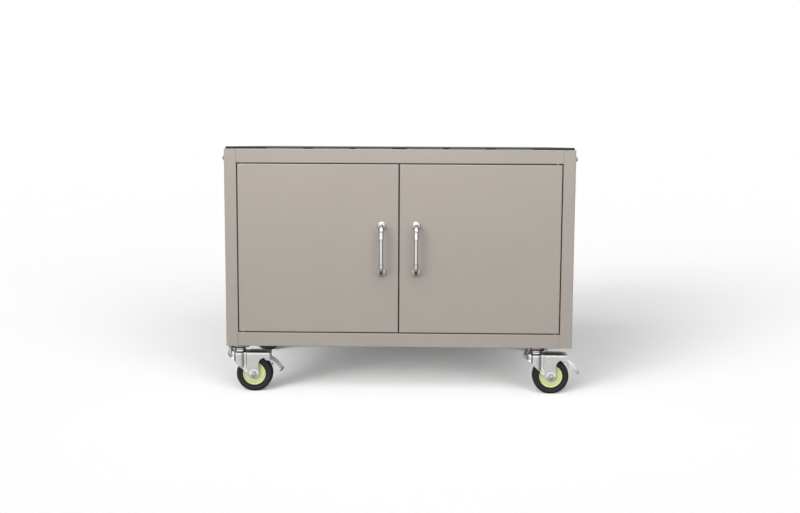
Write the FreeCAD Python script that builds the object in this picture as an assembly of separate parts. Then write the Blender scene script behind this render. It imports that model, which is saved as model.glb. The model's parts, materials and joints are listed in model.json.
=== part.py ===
import FreeCAD, Part
import math
import os

os.makedirs("parts", exist_ok=True)

# Grill cart with storage. Millimetres, Z up, X to the right as seen from the front, Y to the back.
# The origin is on the floor, under the middle of the whole cart with its handles.

# cabinet
case_width = 950.0
case_depth = 670.0
case_height = 541.5
post_side = 33.0
rail_height = 38.0
tube_wall = 1.5
tube_corner = 2.0
post_cap = 3.0
bearer_width = 145.0
bearer_sheet = 3.0

# sheet parts
panel_sheet = 1.2
panel_bend = 2.4
panel_recess = 3.0
panel_return = 12.0
floor_return = 15.0
shelf_drop = 305.0
shelf_setback = 36.0
shelf_lip = 27.0

# top
plate_sheet = 3.0
plate_inset = 3.5
plate_corner = 4.0
pad_height = 3.0
pad_length = 99.0
pad_depth = 22.0
pad_gap_outer = 27.0
pad_gap_inner = 15.5
pad_gap_middle = 39.0

# doors
door_gap = 2.6
door_meeting_gap = 2.8
door_depth = 20.0
door_bend = 2.4
liner_sheet = 1.0
liner_return = 8.0
pivot_inset = 11.5
pivot_setback = 6.0
pivot_radius = 3.0
pivot_reach = 10.0
pivot_collar = 5.5
running_fit = 0.1
seat_gap = 0.3
stop_setback = 25.0
stop_sheet = 2.0
stop_drop = 20.0
stop_margin = 11.0
catch_width = 44.0
catch_height = 13.0
catch_start = 8.0
catch_drop = 5.0
catch_corner = 1.5

# handles
handle_centres = 128.0
handle_inset = 45.6
handle_standoff = 36.0
bar_radius = 5.0
elbow_foot_radius = 5.4
elbow_end_radius = 6.7
elbow_bend = 18.0
elbow_steps = 6
elbow_drop = 30.0
collar_radius = 7.8
collar_height = 2.6
rosette_radius = 12.0
rosette_height = 5.0
rosette_rim = 1.2
rosette_steps = 4
stud_radius = 2.5
stud_head_radius = 5.0
stud_head_height = 2.0

# cap nuts on the sides, for a side shelf
cap_nut_flats = 13.0
cap_nut_base = 2.5
cap_nut_height = 6.5
cap_nut_dome = 6.0
cap_nut_steps = 3
cap_nut_drop = 25.0
cap_stud_radius = 3.0
cap_stud_reach = 8.0

# casters
swivel_setback = 52.0
front_left_inset = 29.0
front_right_inset = 92.0
trail = 41.0
wheel_radius = 50.0
tyre_width = 34.0
tyre_shoulder = 6.0
tyre_steps = 2
core_radius = 31.8
core_rim = 2.8
core_rim_half = 15.0
core_face_half = 13.0
hub_radius = 11.0
axle_radius = 5.0
fork_inner_half = 20.0
fork_sheet = 3.0
fork_bend = 4.0
fork_bend_steps = 2
fork_clear = 12.0
nose_radius = 28.0
nose_lip_rise = 9.0
nose_lip_flare = 6.5
nose_lip_lean = 5.0
nose_lip_shoulder = 3.0
nose_lip_drop = 9.0
nose_lip_sheet = 1.8
nose_lip_angle = 110.0
lobe_radius = 13.5
slant_x = -20.0
slant_drop = 19.0
relief_shelf = 1.0
neck_radius = 16.0
neck_height = 10.0
kingpin_radius = 6.0
kingpin_head_flats = 19.0
kingpin_head_height = 6.0
kingpin_nut_flats = 19.0
kingpin_nut_height = 8.0
race_radius = 27.5
race_sheet = 3.0
race_drop = 9.7
race_corner = 6.0
race_steps = 2
race_pocket_radius = 13.0
mount_plate_width = 58.0
mount_plate_length = 62.0
mount_plate_sheet = 4.0
mount_plate_corner = 5.0
mount_stud_x = 22.5
mount_stud_y = 26.0
mount_stud_radius = 3.0
mount_nut_flats = 10.0
mount_nut_height = 5.0
axle_nut_flats = 15.0
axle_nut_height = 5.0
axle_tail = 2.0

# brake pedal, seen from the front: its pivot, its bent plate and its shoe over the tyre
brake_pivot_angle = 51.0
brake_barrel_clear = 4.0
ear_radius = 7.0
brake_pin_radius = 3.0
brake_pin_head = 4.8
brake_pin_head_height = 1.5
brake_barrel_radius = 5.5
pedal_radius = 80.0
pedal_start = 67.0
pedal_end = 30.0
pedal_sheet = 2.4
pedal_half_width = 23.0
pedal_flange = 3.6
pedal_neck = 12.5
pedal_neck_half = 19.4
tip_length = 4.0
tip_wrap = 1.2
shoe_clear = 5.7
shoe_sheet = 2.4
shoe_half_width = 15.0
shoe_turn = 26.0

# places worked out from the sizes above
handle_reach = handle_standoff + collar_radius
front = (handle_reach - case_depth) / 2
back = front + case_depth
side = case_width / 2
fork_top = 2 * wheel_radius + fork_clear
base = fork_top + neck_height + seat_gap + race_drop + mount_plate_sheet
top = base + case_height
inner_side = side - post_side
inner_front = front + post_side
inner_back = back - post_side
opening_bottom = base + rail_height
opening_top = top - rail_height
door_width = (2 * inner_side - 2 * door_gap - door_meeting_gap) / 2
door_height = opening_top - opening_bottom - 2 * door_gap
door_bottom = opening_bottom + door_gap
door_top = opening_top - door_gap
shelf_top = opening_top - shelf_drop
handle_z = (opening_top + opening_bottom) / 2
handle_x = door_meeting_gap / 2 + handle_inset
front_swivel_y = front + swivel_setback
rear_swivel_y = back - swivel_setback
fork_half = fork_inner_half + fork_sheet
slant_z = fork_top - slant_drop
brake_reach = wheel_radius + brake_barrel_clear + brake_barrel_radius
brake_pivot_x = trail + brake_reach * math.cos(math.radians(brake_pivot_angle))
brake_pivot_z = wheel_radius + brake_reach * math.sin(math.radians(brake_pivot_angle))
relief_radius = brake_pivot_x - ear_radius - relief_shelf - trail - lobe_radius
tip_turn = tip_length / pedal_radius
tip_reach = (brake_pivot_x - pedal_radius * math.cos(math.radians(pedal_start))
             + (pedal_radius + pedal_sheet / 2 + tip_wrap) * math.cos(math.radians(pedal_end) - tip_turn))
# the rear wheels stand out as far on both sides as the right pedal does
rear_swivel_x = side - front_right_inset + tip_reach - trail - wheel_radius

casters = {
    "front_left": (front_left_inset - side, front_swivel_y, 0.0, True),
    "front_right": (side - front_right_inset, front_swivel_y, 0.0, True),
    "rear_left": (-rear_swivel_x, rear_swivel_y, 180.0, False),
    "rear_right": (rear_swivel_x, rear_swivel_y, 0.0, False),
}

pieces = {}


def vec(x, y, z):
    return FreeCAD.Vector(x, y, z)


def put(shape, origin, along, up):
    """Turn a shape so that its X runs along one axis and its Y along another, then place it."""
    across = along.cross(up)
    turned = shape.copy()
    turned.Placement = FreeCAD.Placement(FreeCAD.Matrix(
        along.x, up.x, across.x, origin.x,
        along.y, up.y, across.y, origin.y,
        along.z, up.z, across.z, origin.z,
        0, 0, 0, 1))
    return turned


def moved(shape, x, y, z):
    shifted = shape.copy()
    shifted.translate(vec(x, y, z))
    return shifted


def mirrored_x(shape):
    return shape.mirror(vec(0, 0, 0), vec(1, 0, 0))


def rod(radius, start, end):
    """A round bar from one point to another."""
    run = end - start
    return Part.makeCylinder(radius, run.Length, start, run)


def hexagon(flats, height, start, direction):
    """A hexagon prism, measured across its flats."""
    corner = flats / math.sqrt(3)
    points = [vec(corner * math.cos(math.radians(60 * i)), corner * math.sin(math.radians(60 * i)), 0)
              for i in range(7)]
    prism = Part.Face(Part.makePolygon(points)).extrude(vec(0, 0, height))
    prism.Placement = FreeCAD.Placement(start, FreeCAD.Rotation(vec(0, 0, 1), direction))
    return prism


def rounded(shape, radius, pick):
    """Fillet the edges that pick chooses."""
    return shape.makeFillet(radius, [edge for edge in shape.Edges if pick(edge)])


def block(low, high):
    return Part.makeBox(high.x - low.x, high.y - low.y, high.z - low.z, low)


def polygon_face(points):
    return Part.Face(Part.makePolygon(points + [points[0]]))


def tube(width, height, length):
    """A square tube with rounded corners along local Z, from the origin corner."""
    outside = rounded(Part.makeBox(width, height, length), tube_corner,
                      lambda edge: edge.BoundBox.ZLength > length / 2)
    return outside.cut(Part.makeBox(width - 2 * tube_wall, height - 2 * tube_wall, length,
                                    vec(tube_wall, tube_wall, 0)))


def quarter(radius, steps, start_angle, end_angle):
    """Points along an arc about the origin, as pairs."""
    turns = [math.radians(start_angle + (end_angle - start_angle) * i / steps) for i in range(steps + 1)]
    return [(radius * math.cos(turn), radius * math.sin(turn)) for turn in turns]


def turned(outline, centre, axis):
    """Turn an outline of radius and height pairs about an axis into a solid."""
    if axis == "z":
        face = polygon_face([vec(radius, 0, height) for radius, height in outline])
        solid = face.revolve(vec(0, 0, 0), vec(0, 0, 1), 360)
    else:
        face = polygon_face([vec(radius, height, 0) for radius, height in outline])
        solid = face.revolve(vec(0, 0, 0), vec(0, 1, 0), 360)
    return moved(solid, centre.x, centre.y, centre.z)


def pan(width, height, depth, sheet, bend):
    """A folded tray: a sheet in the XY plane with four returns along +Z."""
    def tray(inset, radius):
        body = Part.makeBox(width - 2 * inset, height - 2 * inset, depth, vec(inset, inset, inset))
        return rounded(body, radius, lambda edge: edge.BoundBox.ZMax < depth / 2)
    folded = tray(0, bend)
    hollow = tray(sheet, bend - sheet)
    return folded.cut(hollow).common(Part.makeBox(width, height, depth))


def ring_sector(inner, outer, start, end, half_width, centre_x, centre_z):
    """A curved plate whose section is part of a ring in the XZ plane."""
    def spot(radius, angle):
        turn = math.radians(angle)
        return vec(centre_x + radius * math.cos(turn), -half_width, centre_z + radius * math.sin(turn))
    middle = (start + end) / 2
    edges = [
        Part.Arc(spot(outer, start), spot(outer, middle), spot(outer, end)).toShape(),
        Part.makeLine(spot(outer, end), spot(inner, end)),
        Part.Arc(spot(inner, end), spot(inner, middle), spot(inner, start)).toShape(),
        Part.makeLine(spot(inner, start), spot(outer, start)),
    ]
    return Part.Face(Part.Wire(edges)).extrude(vec(0, 2 * half_width, 0))


def posts():
    """Four full-height corner tubes, capped at the foot and drilled for the cap nuts."""
    post = tube(post_side, post_side, case_height)
    cap = Part.makeBox(post_side - 2 * tube_wall, post_side - 2 * tube_wall, post_cap,
                       vec(tube_wall, tube_wall, 0))
    post = post.fuse(cap).removeSplitter()
    for end, y in (("front", front), ("rear", inner_back)):
        for hand, x in (("left", -side), ("right", inner_side)):
            placed = moved(post, x, y, base)
            outside = -side if hand == "left" else side
            inward = 1 if hand == "left" else -1
            stud = vec(outside, y + post_side / 2, top - cap_nut_drop)
            placed = placed.cut(rod(cap_stud_radius, stud, stud + vec(inward * cap_stud_reach, 0, 0)))
            pieces["post_" + end + "_" + hand] = placed


def cross_rails():
    """The front and back rails, with holes for the door pivots."""
    rail = tube(post_side, rail_height, 2 * inner_side)
    for end, y in (("front", front), ("rear", inner_back)):
        for level, z in (("top", opening_top), ("bottom", base)):
            placed = put(rail, vec(-inner_side, y, z), vec(0, 1, 0), vec(0, 0, 1))
            if end == "front":
                for x in (-pivot_x(), pivot_x()):
                    low = vec(x, front + pivot_setback, z - 1)
                    if level == "bottom":
                        low = vec(x, front + pivot_setback, z + rail_height / 2)
                    placed = placed.cut(rod(pivot_radius, low, low + vec(0, 0, rail_height / 2 + 1)))
            pieces["rail_" + end + "_" + level] = placed


def side_rails():
    """Side rails between the posts. The lower ones carry the strip that the casters hang from."""
    length = inner_back - inner_front
    rail = tube(post_side, rail_height, length)
    strip = Part.makeBox(bearer_width - post_side, bearer_sheet, length, vec(post_side, 0, 0))
    bearer = rail.fuse(strip)
    for level, z, shape in (("top", opening_top, rail), ("bottom", base, bearer)):
        left = put(shape, vec(-side, inner_back, z), vec(1, 0, 0), vec(0, 0, 1))
        pieces["rail_left_" + level] = left
        pieces["rail_right_" + level] = mirrored_x(left)


def panels():
    """Folded panels set into the frame at the sides, the back and the bottom."""
    depth = inner_back - inner_front
    height = opening_top - opening_bottom
    flank = pan(depth, height, panel_return, panel_sheet, panel_bend)
    left = put(flank, vec(-side + panel_recess, inner_front, opening_bottom), vec(0, 1, 0), vec(0, 0, 1))
    pieces["side_panel_left"] = left
    pieces["side_panel_right"] = mirrored_x(left)

    rear = pan(2 * inner_side, height, panel_return, panel_sheet, panel_bend)
    pieces["back_panel"] = put(rear, vec(-inner_side, back - panel_recess, opening_bottom),
                               vec(1, 0, 0), vec(0, 0, 1))

    tray = pan(2 * inner_side, depth, floor_return, panel_sheet, panel_bend)
    pieces["bottom_panel"] = put(tray, vec(-inner_side, inner_back, opening_bottom),
                                 vec(1, 0, 0), vec(0, -1, 0))


def shelf():
    """A folded shelf whose ends are fixed to the posts."""
    depth = back - panel_recess - panel_return - seat_gap - (front + shelf_setback)
    tray = pan(2 * inner_side, depth, shelf_lip, panel_sheet, panel_bend)
    pieces["shelf"] = put(tray, vec(-inner_side, front + shelf_setback + depth, shelf_top),
                          vec(1, 0, 0), vec(0, -1, 0))


def top_parts():
    """The flat top plate and the short pads that hold it off the frame."""
    low = vec(-side + plate_inset, front + plate_inset, top + pad_height)
    high = vec(side - plate_inset, back - plate_inset, top + pad_height + plate_sheet)
    plate = block(low, high)
    pieces["top_plate"] = rounded(plate, plate_corner, lambda edge: edge.BoundBox.ZLength > plate_sheet / 2)

    pads = []
    step_inner = pad_gap_middle / 2
    starts = [step_inner, step_inner + pad_length + pad_gap_inner]
    starts.append(starts[-1] + pad_length + pad_gap_outer)
    for start in starts:
        for x in (start, -start - pad_length):
            for y in (front + plate_inset, back - plate_inset - pad_depth):
                pad = block(vec(x, y, top), vec(x + pad_length, y + pad_depth, top + pad_height))
                pads.append(pad)
    pieces["top_pads"] = Part.makeCompound(pads)


def pivot_x():
    """How far each door pivot stands from the middle of the cart."""
    return inner_side - door_gap - pivot_inset


def door_hardware():
    """What stays on the frame for the doors: the pivot pins, the stop and the catches."""
    pins = []
    for x in (-pivot_x(), pivot_x()):
        y = front + pivot_setback
        pins.append(rod(pivot_radius, vec(x, y, door_top - pivot_reach), vec(x, y, opening_top + pivot_reach)))
        low = rod(pivot_radius, vec(x, y, opening_bottom - pivot_reach), vec(x, y, door_bottom + pivot_reach))
        collar = rod(pivot_collar, vec(x, y, opening_bottom), vec(x, y, door_bottom - seat_gap))
        pins.append(low.fuse(collar).removeSplitter())
    pieces["door_pivot_pins"] = Part.makeCompound(pins)

    face = front + stop_setback
    reach = inner_side - stop_margin
    stop = block(vec(-reach, face, opening_top - stop_drop), vec(reach, face + stop_sheet, opening_top))
    pieces["door_stop"] = stop

    catch_top = opening_top - catch_drop
    catch = block(vec(catch_start, front + door_depth + seat_gap, catch_top - catch_height),
                  vec(catch_start + catch_width, face, catch_top))
    catch = rounded(catch, catch_corner, lambda edge: edge.BoundBox.YLength > 1)
    pieces["door_catches"] = Part.makeCompound([catch, mirrored_x(catch)])


def stud_points():
    """Where the handle of the right door goes through its skin."""
    return [vec(handle_x, front, handle_z + sign * handle_centres / 2) for sign in (-1, 1)]


def doors():
    """Two folded doors with an inner liner, each with its handle. The left one mirrors the right."""
    start = door_meeting_gap / 2
    skin = pan(door_width, door_height, door_depth, panel_sheet, door_bend)
    skin = put(skin, vec(start + door_width, front, door_bottom), vec(-1, 0, 0), vec(0, 0, 1))
    y = front + pivot_setback
    skin = skin.cut(rod(pivot_radius + running_fit, vec(pivot_x(), y, door_bottom - 1),
                        vec(pivot_x(), y, door_top + 1)))
    for point in stud_points():
        skin = skin.cut(rod(stud_radius, point - vec(0, 1, 0), point + vec(0, panel_sheet + 1, 0)))

    liner = pan(door_width - 2 * panel_sheet, door_height - 2 * panel_sheet, liner_return,
                liner_sheet, door_bend)
    liner = put(liner, vec(start + panel_sheet, front + door_depth, door_bottom + panel_sheet),
                vec(1, 0, 0), vec(0, 0, 1))
    set_both("door_", "_skin", skin)
    set_both("door_", "_liner", liner)
    set_both("door_", "_handle_bar", handle_bar())
    set_both("door_", "_handle_elbows", handle_elbows())
    set_both("door_", "_handle_rosettes", handle_rosettes())


def set_both(start, end, right):
    pieces[start + "right" + end] = right
    pieces[start + "left" + end] = mirrored_x(right)


def handle_bar():
    reach = handle_centres / 2 - elbow_drop
    axis_y = front - handle_standoff
    return rod(bar_radius, vec(handle_x, axis_y, handle_z - reach), vec(handle_x, axis_y, handle_z + reach))


def elbow():
    """One handle end at the origin: out from the door face, round a swelling bend and down to its collar."""
    foot_length = handle_standoff - elbow_bend
    rings = []
    for i in range(elbow_steps + 1):
        share = i / elbow_steps
        turn = math.radians(90 * share)
        radius = elbow_foot_radius + (elbow_end_radius - elbow_foot_radius) * share
        ring = Part.Wire(Part.makeCircle(radius))
        ring.rotate(vec(0, 0, 0), vec(1, 0, 0), 90 + 90 * share)
        ring.translate(vec(0, -foot_length - elbow_bend * math.sin(turn), elbow_bend * (math.cos(turn) - 1)))
        rings.append(ring)
    bend = Part.makeLoft(rings, True, True)
    foot = rod(elbow_foot_radius, vec(0, 0, 0), vec(0, -foot_length, 0))
    low = vec(0, -handle_standoff, -elbow_drop)
    end = rod(elbow_end_radius, vec(0, -handle_standoff, -elbow_bend), low)
    collar = rod(collar_radius, low, low + vec(0, 0, collar_height))
    stud = rod(stud_radius, vec(0, 0, 0), vec(0, panel_sheet, 0))
    head = rod(stud_head_radius, vec(0, panel_sheet, 0), vec(0, panel_sheet + stud_head_height, 0))
    return bend.fuse([foot, end, collar, stud, head]).removeSplitter()


def handle_elbows():
    upper = elbow()
    lower = upper.mirror(vec(0, 0, 0), vec(0, 0, 1))
    bottom, above = stud_points()
    return Part.makeCompound([moved(upper, above.x, above.y, above.z),
                              moved(lower, bottom.x, bottom.y, bottom.z)])


def handle_rosettes():
    """The roses with rounded rims that the elbows come out of."""
    across = rosette_radius - elbow_foot_radius
    rise = rosette_height - rosette_rim
    shoulder = [(elbow_foot_radius + across * x, -rosette_rim - rise * y) for x, y in quarter(1, rosette_steps, 0, 90)]
    outline = [(elbow_foot_radius, 0), (rosette_radius, 0)] + shoulder
    return Part.makeCompound([turned(outline, point, "y") for point in stud_points()])


def cap_nuts():
    """Domed nuts on studs through the posts, two on each side."""
    rise = cap_nut_height - cap_nut_base
    dome = [(0, cap_nut_base)] + [(x * cap_nut_dome, cap_nut_base + y * rise)
                                  for x, y in quarter(1, cap_nut_steps, 0, 90)]
    nut = hexagon(cap_nut_flats, cap_nut_base, vec(0, 0, 0), vec(0, 0, 1))
    nut = nut.fuse(turned(dome, vec(0, 0, 0), "z"))
    nut = nut.fuse(Part.makeCylinder(cap_stud_radius, cap_stud_reach, vec(0, 0, -cap_stud_reach)))
    nut = nut.removeSplitter()
    row = []
    for y in (front + post_side / 2, back - post_side / 2):
        right = nut.copy()
        right.Placement = FreeCAD.Placement(vec(side, y, top - cap_nut_drop),
                                            FreeCAD.Rotation(vec(0, 0, 1), vec(1, 0, 0)))
        row += [right, mirrored_x(right)]
    pieces["side_cap_nuts"] = Part.makeCompound(row)


def tangent_angle():
    """The angle on the hub lobe where the slanted lower edge of the fork touches it."""
    run = math.hypot(slant_x - trail, slant_z - wheel_radius)
    toward = math.atan2(slant_z - wheel_radius, slant_x - trail)
    return toward + math.acos(lobe_radius / run)


def fork_side_outline():
    """The fork seen from the side: nose, slanted edge, hub lobe, wheel relief and brake ear."""
    tip = brake_pivot_x + ear_radius
    above = fork_top + nose_lip_rise + neck_height
    touch = tangent_angle()

    def lobe(angle):
        return vec(trail + lobe_radius * math.cos(angle), 0, wheel_radius + lobe_radius * math.sin(angle))

    low = lobe(touch)
    beyond = -nose_radius - 2 * nose_lip_flare
    climb = (slant_z - low.z) / (slant_x - low.x)
    corner = vec(beyond, 0, slant_z + (beyond - slant_x) * climb)
    relief_x = trail + lobe_radius + relief_radius
    relief_z = brake_pivot_z - relief_radius
    slope = math.sqrt(0.5)
    relief_mid = vec(relief_x - relief_radius * slope, 0, relief_z + relief_radius * slope)
    ear_left = vec(brake_pivot_x - ear_radius, 0, brake_pivot_z)
    ear_low = vec(brake_pivot_x, 0, brake_pivot_z - ear_radius)
    ear_right = vec(tip, 0, brake_pivot_z)
    start = lobe(2 * math.pi)
    return Part.Wire([
        Part.makeLine(corner, vec(beyond, 0, above)),
        Part.makeLine(vec(beyond, 0, above), vec(tip, 0, above)),
        Part.makeLine(vec(tip, 0, above), ear_right),
        Part.Arc(ear_right, ear_low, ear_left).toShape(),
        Part.makeLine(ear_left, vec(relief_x, 0, brake_pivot_z)),
        Part.Arc(vec(relief_x, 0, brake_pivot_z), relief_mid,
                 vec(relief_x - relief_radius, 0, relief_z)).toShape(),
        Part.makeLine(vec(relief_x - relief_radius, 0, relief_z), start),
        Part.Arc(start, lobe((touch + 2 * math.pi) / 2), low).toShape(),
        Part.makeLine(low, corner),
    ])


def fork_plan(radius, half_width, end, z):
    """The fork seen from above: a round nose about the swivel that runs into two flat cheeks."""
    join = math.sqrt(radius ** 2 - half_width ** 2)
    return Part.Wire([
        Part.Arc(vec(join, half_width, z), vec(-radius, 0, z), vec(join, -half_width, z)).toShape(),
        Part.makeLine(vec(join, -half_width, z), vec(end, -half_width, z)),
        Part.makeLine(vec(end, -half_width, z), vec(end, half_width, z)),
        Part.makeLine(vec(end, half_width, z), vec(join, half_width, z)),
    ])


def fork(braked):
    """A stamped caster fork about its swivel axis, with the wheel trailing along +X."""
    tip = brake_pivot_x + ear_radius
    outer = Part.Face(fork_plan(nose_radius, fork_half, tip, 0)).extrude(vec(0, 0, fork_top - fork_bend))
    rings = [fork_plan(nose_radius - fork_bend + x, fork_half - fork_bend + x, tip, fork_top - fork_bend + z)
             for x, z in quarter(fork_bend, fork_bend_steps, 0, 90)]
    outer = outer.fuse(Part.makeLoft(rings, True, True))
    inner = Part.Face(fork_plan(nose_radius - fork_sheet, fork_inner_half, tip + fork_sheet, 0))
    inner = inner.extrude(vec(0, 0, fork_top - fork_sheet))
    shell = outer.cut(inner)

    flare = nose_radius + nose_lip_flare
    lip_root = nose_radius - nose_lip_sheet
    lip_top = fork_top + nose_lip_rise
    lip_low = fork_top - nose_lip_drop
    shoulder = fork_top - nose_lip_shoulder
    lip = polygon_face([vec(lip_root, 0, lip_low), vec(flare, 0, lip_low), vec(flare, 0, shoulder),
                        vec(flare - nose_lip_lean, 0, lip_top),
                        vec(flare - nose_lip_lean - nose_lip_sheet, 0, lip_top),
                        vec(flare - nose_lip_sheet, 0, shoulder), vec(flare - nose_lip_sheet, 0, lip_low + nose_lip_sheet),
                        vec(lip_root, 0, lip_low + nose_lip_sheet)])
    lip = lip.revolve(vec(0, 0, 0), vec(0, 0, 1), nose_lip_angle)
    lip.rotate(vec(0, 0, 0), vec(0, 0, 1), 180 - nose_lip_angle / 2)

    neck_top = fork_top + neck_height
    neck = rod(neck_radius, vec(0, 0, fork_top - fork_sheet), vec(0, 0, neck_top))
    profile = Part.Face(fork_side_outline()).extrude(vec(0, 4 * nose_radius, 0))
    profile.translate(vec(0, -2 * nose_radius, 0))
    body = shell.fuse([lip, neck]).common(profile)

    body = body.cut(rod(kingpin_radius + running_fit, vec(0, 0, 0), vec(0, 0, neck_top + 1)))
    reach = vec(0, fork_half + 1, 0)
    hub = vec(trail, 0, wheel_radius)
    body = body.cut(rod(axle_radius, hub - reach, hub + reach))
    if braked:
        pivot = vec(brake_pivot_x, 0, brake_pivot_z)
        body = body.cut(rod(brake_pin_radius + running_fit, pivot - reach, pivot + reach))
    return body


def axle():
    """The axle bolt across the fork, with its nut."""
    hub = vec(trail, 0, wheel_radius)
    outward = vec(0, -1, 0)
    face = hub + outward * fork_half
    far = hub - outward * fork_half
    tail = far - outward * (axle_nut_height + axle_tail)
    bolt = rod(axle_radius, face, tail).fuse(hexagon(axle_nut_flats, axle_nut_height, face, outward))
    nut = hexagon(axle_nut_flats, axle_nut_height, far, outward * -1).cut(rod(axle_radius, hub, tail))
    return Part.makeCompound([bolt.removeSplitter(), nut])


def wheel_core():
    """The moulded wheel centre: hub, flat face and raised rim."""
    step = core_radius - core_rim
    hub_half = fork_inner_half - seat_gap
    near = [(axle_radius + running_fit, hub_half), (hub_radius, hub_half), (hub_radius, core_face_half),
            (step, core_face_half), (step, core_rim_half), (core_radius, core_rim_half)]
    far = [(radius, -half) for radius, half in reversed(near)]
    return turned(near + far, vec(trail, 0, wheel_radius), "y")


def tyre():
    """A plain ring of tread with round shoulders, seated on the wheel centre."""
    half = tyre_width / 2 - tyre_shoulder
    edge = wheel_radius - tyre_shoulder
    near = [(edge + x, half + y) for x, y in quarter(tyre_shoulder, tyre_steps, 0, 90)]
    far = [(radius, -height) for radius, height in reversed(near)]
    outline = near + [(core_radius, tyre_width / 2), (core_radius, -tyre_width / 2)] + far
    return turned(outline, vec(trail, 0, wheel_radius), "y")


def pedal_centre():
    """The centre of the arc that the pedal plate is bent to, so that the plate starts at its pivot."""
    turn = math.radians(pedal_start)
    return (brake_pivot_x - pedal_radius * math.cos(turn), brake_pivot_z - pedal_radius * math.sin(turn))


def brake_pedal():
    """The pedal: a barrel on its pins, a bent plate with turned-down edges and a shoe over the tyre."""
    pivot = vec(brake_pivot_x, 0, brake_pivot_z)
    barrel_half = vec(0, fork_inner_half - seat_gap, 0)
    pin_half = vec(0, fork_half + seat_gap, 0)
    head = vec(0, brake_pin_head_height, 0)
    barrel = rod(brake_barrel_radius, pivot - barrel_half, pivot + barrel_half)
    pin = rod(brake_pin_radius, pivot - pin_half - head, pivot + pin_half + head)
    heads = [rod(brake_pin_head, pivot + pin_half, pivot + pin_half + head),
             rod(brake_pin_head, pivot - pin_half - head, pivot - pin_half)]

    centre_x, centre_z = pedal_centre()
    outer = pedal_radius + pedal_sheet / 2
    inner = pedal_radius - pedal_sheet / 2
    plate = ring_sector(inner, outer, pedal_end, pedal_start, pedal_half_width, centre_x, centre_z)
    edges = ring_sector(outer - pedal_flange, outer, pedal_end, pedal_start, pedal_half_width, centre_x, centre_z)
    gap = ring_sector(outer - 2 * pedal_flange, outer + 1, pedal_end - 1, pedal_start + 1,
                      pedal_half_width - pedal_sheet, centre_x, centre_z)
    plate = plate.fuse(edges.cut(gap))
    reach = vec(0, pedal_half_width + 1, 0)
    neck_zone = rod(pedal_neck, pivot - reach, pivot + reach)
    neck_keep = rod(pedal_neck, pivot - vec(0, pedal_neck_half, 0), pivot + vec(0, pedal_neck_half, 0))
    plate = plate.cut(neck_zone.cut(neck_keep))

    shoe_radius = wheel_radius + shoe_clear
    shoe = ring_sector(shoe_radius, shoe_radius + shoe_sheet, brake_pivot_angle - shoe_turn,
                       brake_pivot_angle, shoe_half_width, trail, wheel_radius)
    return barrel.fuse([pin, plate, shoe] + heads).removeSplitter()


def pedal_tip():
    """The rubber end that the foot meets."""
    centre_x, centre_z = pedal_centre()
    outer = pedal_radius + pedal_sheet / 2
    return ring_sector(outer - pedal_flange - tip_wrap, outer + tip_wrap, pedal_end - math.degrees(tip_turn), pedal_end,
                       pedal_half_width, centre_x, centre_z)


def mount_plate():
    """A caster plate with the drawn bowl that the swivel runs against."""
    sheet_low = base - mount_plate_sheet
    bowl_low = fork_top + neck_height + seat_gap
    plate = Part.makeBox(mount_plate_width, mount_plate_length, mount_plate_sheet,
                         vec(-mount_plate_width / 2, -mount_plate_length / 2, sheet_low))
    plate = rounded(plate, mount_plate_corner, lambda edge: edge.BoundBox.ZLength > mount_plate_sheet / 2)

    corner = [(race_radius - race_corner + x, bowl_low + race_corner - y)
              for x, y in quarter(race_corner, race_steps, 90, 0)]
    bowl = turned([(0, bowl_low)] + corner + [(race_radius, base - 1), (0, base - 1)], vec(0, 0, 0), "z")
    pocket = rod(race_pocket_radius, vec(0, 0, bowl_low + race_sheet), vec(0, 0, base))
    body = plate.fuse(bowl).cut(pocket)
    body = body.cut(rod(kingpin_radius, vec(0, 0, bowl_low - 1), vec(0, 0, base)))
    for x, y in stud_offsets():
        body = body.cut(rod(mount_stud_radius, vec(x, y, sheet_low - 1), vec(x, y, base + 1)))
    return body.removeSplitter()


def stud_offsets():
    """The four studs of a caster plate, about its swivel."""
    return [(sx * mount_stud_x, sy * mount_stud_y) for sx in (-1, 1) for sy in (-1, 1)]


def kingpin():
    """The swivel bolt, with its nut under the fork."""
    seat = fork_top + neck_height + seat_gap + race_sheet
    underside = fork_top - fork_sheet - seat_gap
    low = underside - kingpin_nut_height
    shank = rod(kingpin_radius, vec(0, 0, low), vec(0, 0, seat))
    head = hexagon(kingpin_head_flats, kingpin_head_height, vec(0, 0, seat), vec(0, 0, 1))
    nut = hexagon(kingpin_nut_flats, kingpin_nut_height, vec(0, 0, low), vec(0, 0, 1))
    return shank.fuse([head, nut]).removeSplitter()


def plate_stud():
    """One welded stud under the frame, with the nut that holds the caster plate up."""
    under = base - mount_plate_sheet
    stud = rod(mount_stud_radius, vec(0, 0, under - mount_nut_height / 2), vec(0, 0, base))
    nut = hexagon(mount_nut_flats, mount_nut_height, vec(0, 0, under - mount_nut_height), vec(0, 0, 1))
    return stud.fuse(nut).removeSplitter()


def caster_sets():
    """Every caster at its place. Those at the front have a brake."""
    shapes = {True: fork(True), False: fork(False)}
    plates = []
    pins = []
    studs = []
    for name, (x, y, heading, braked) in casters.items():
        def placed(shape):
            turned = shape.copy()
            turned.rotate(vec(0, 0, 0), vec(0, 0, 1), heading)
            turned.translate(vec(x, y, 0))
            return turned
        plates.append(moved(mount_plate(), x, y, 0))
        pieces["caster_fork_" + name] = placed(shapes[braked])
        pieces["axle_" + name] = placed(axle())
        pieces["wheel_core_" + name] = placed(wheel_core())
        pieces["tyre_" + name] = placed(tyre())
        if braked:
            pieces["brake_pedal_" + name] = placed(brake_pedal())
            pieces["pedal_tip_" + name] = placed(pedal_tip())
        pins.append(moved(kingpin(), x, y, 0))
        studs += [moved(plate_stud(), x + sx, y + sy, 0) for sx, sy in stud_offsets()]
    pieces["caster_plates"] = Part.makeCompound(plates)
    pieces["kingpins"] = Part.makeCompound(pins)
    pieces["caster_studs"] = Part.makeCompound(studs)


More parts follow.
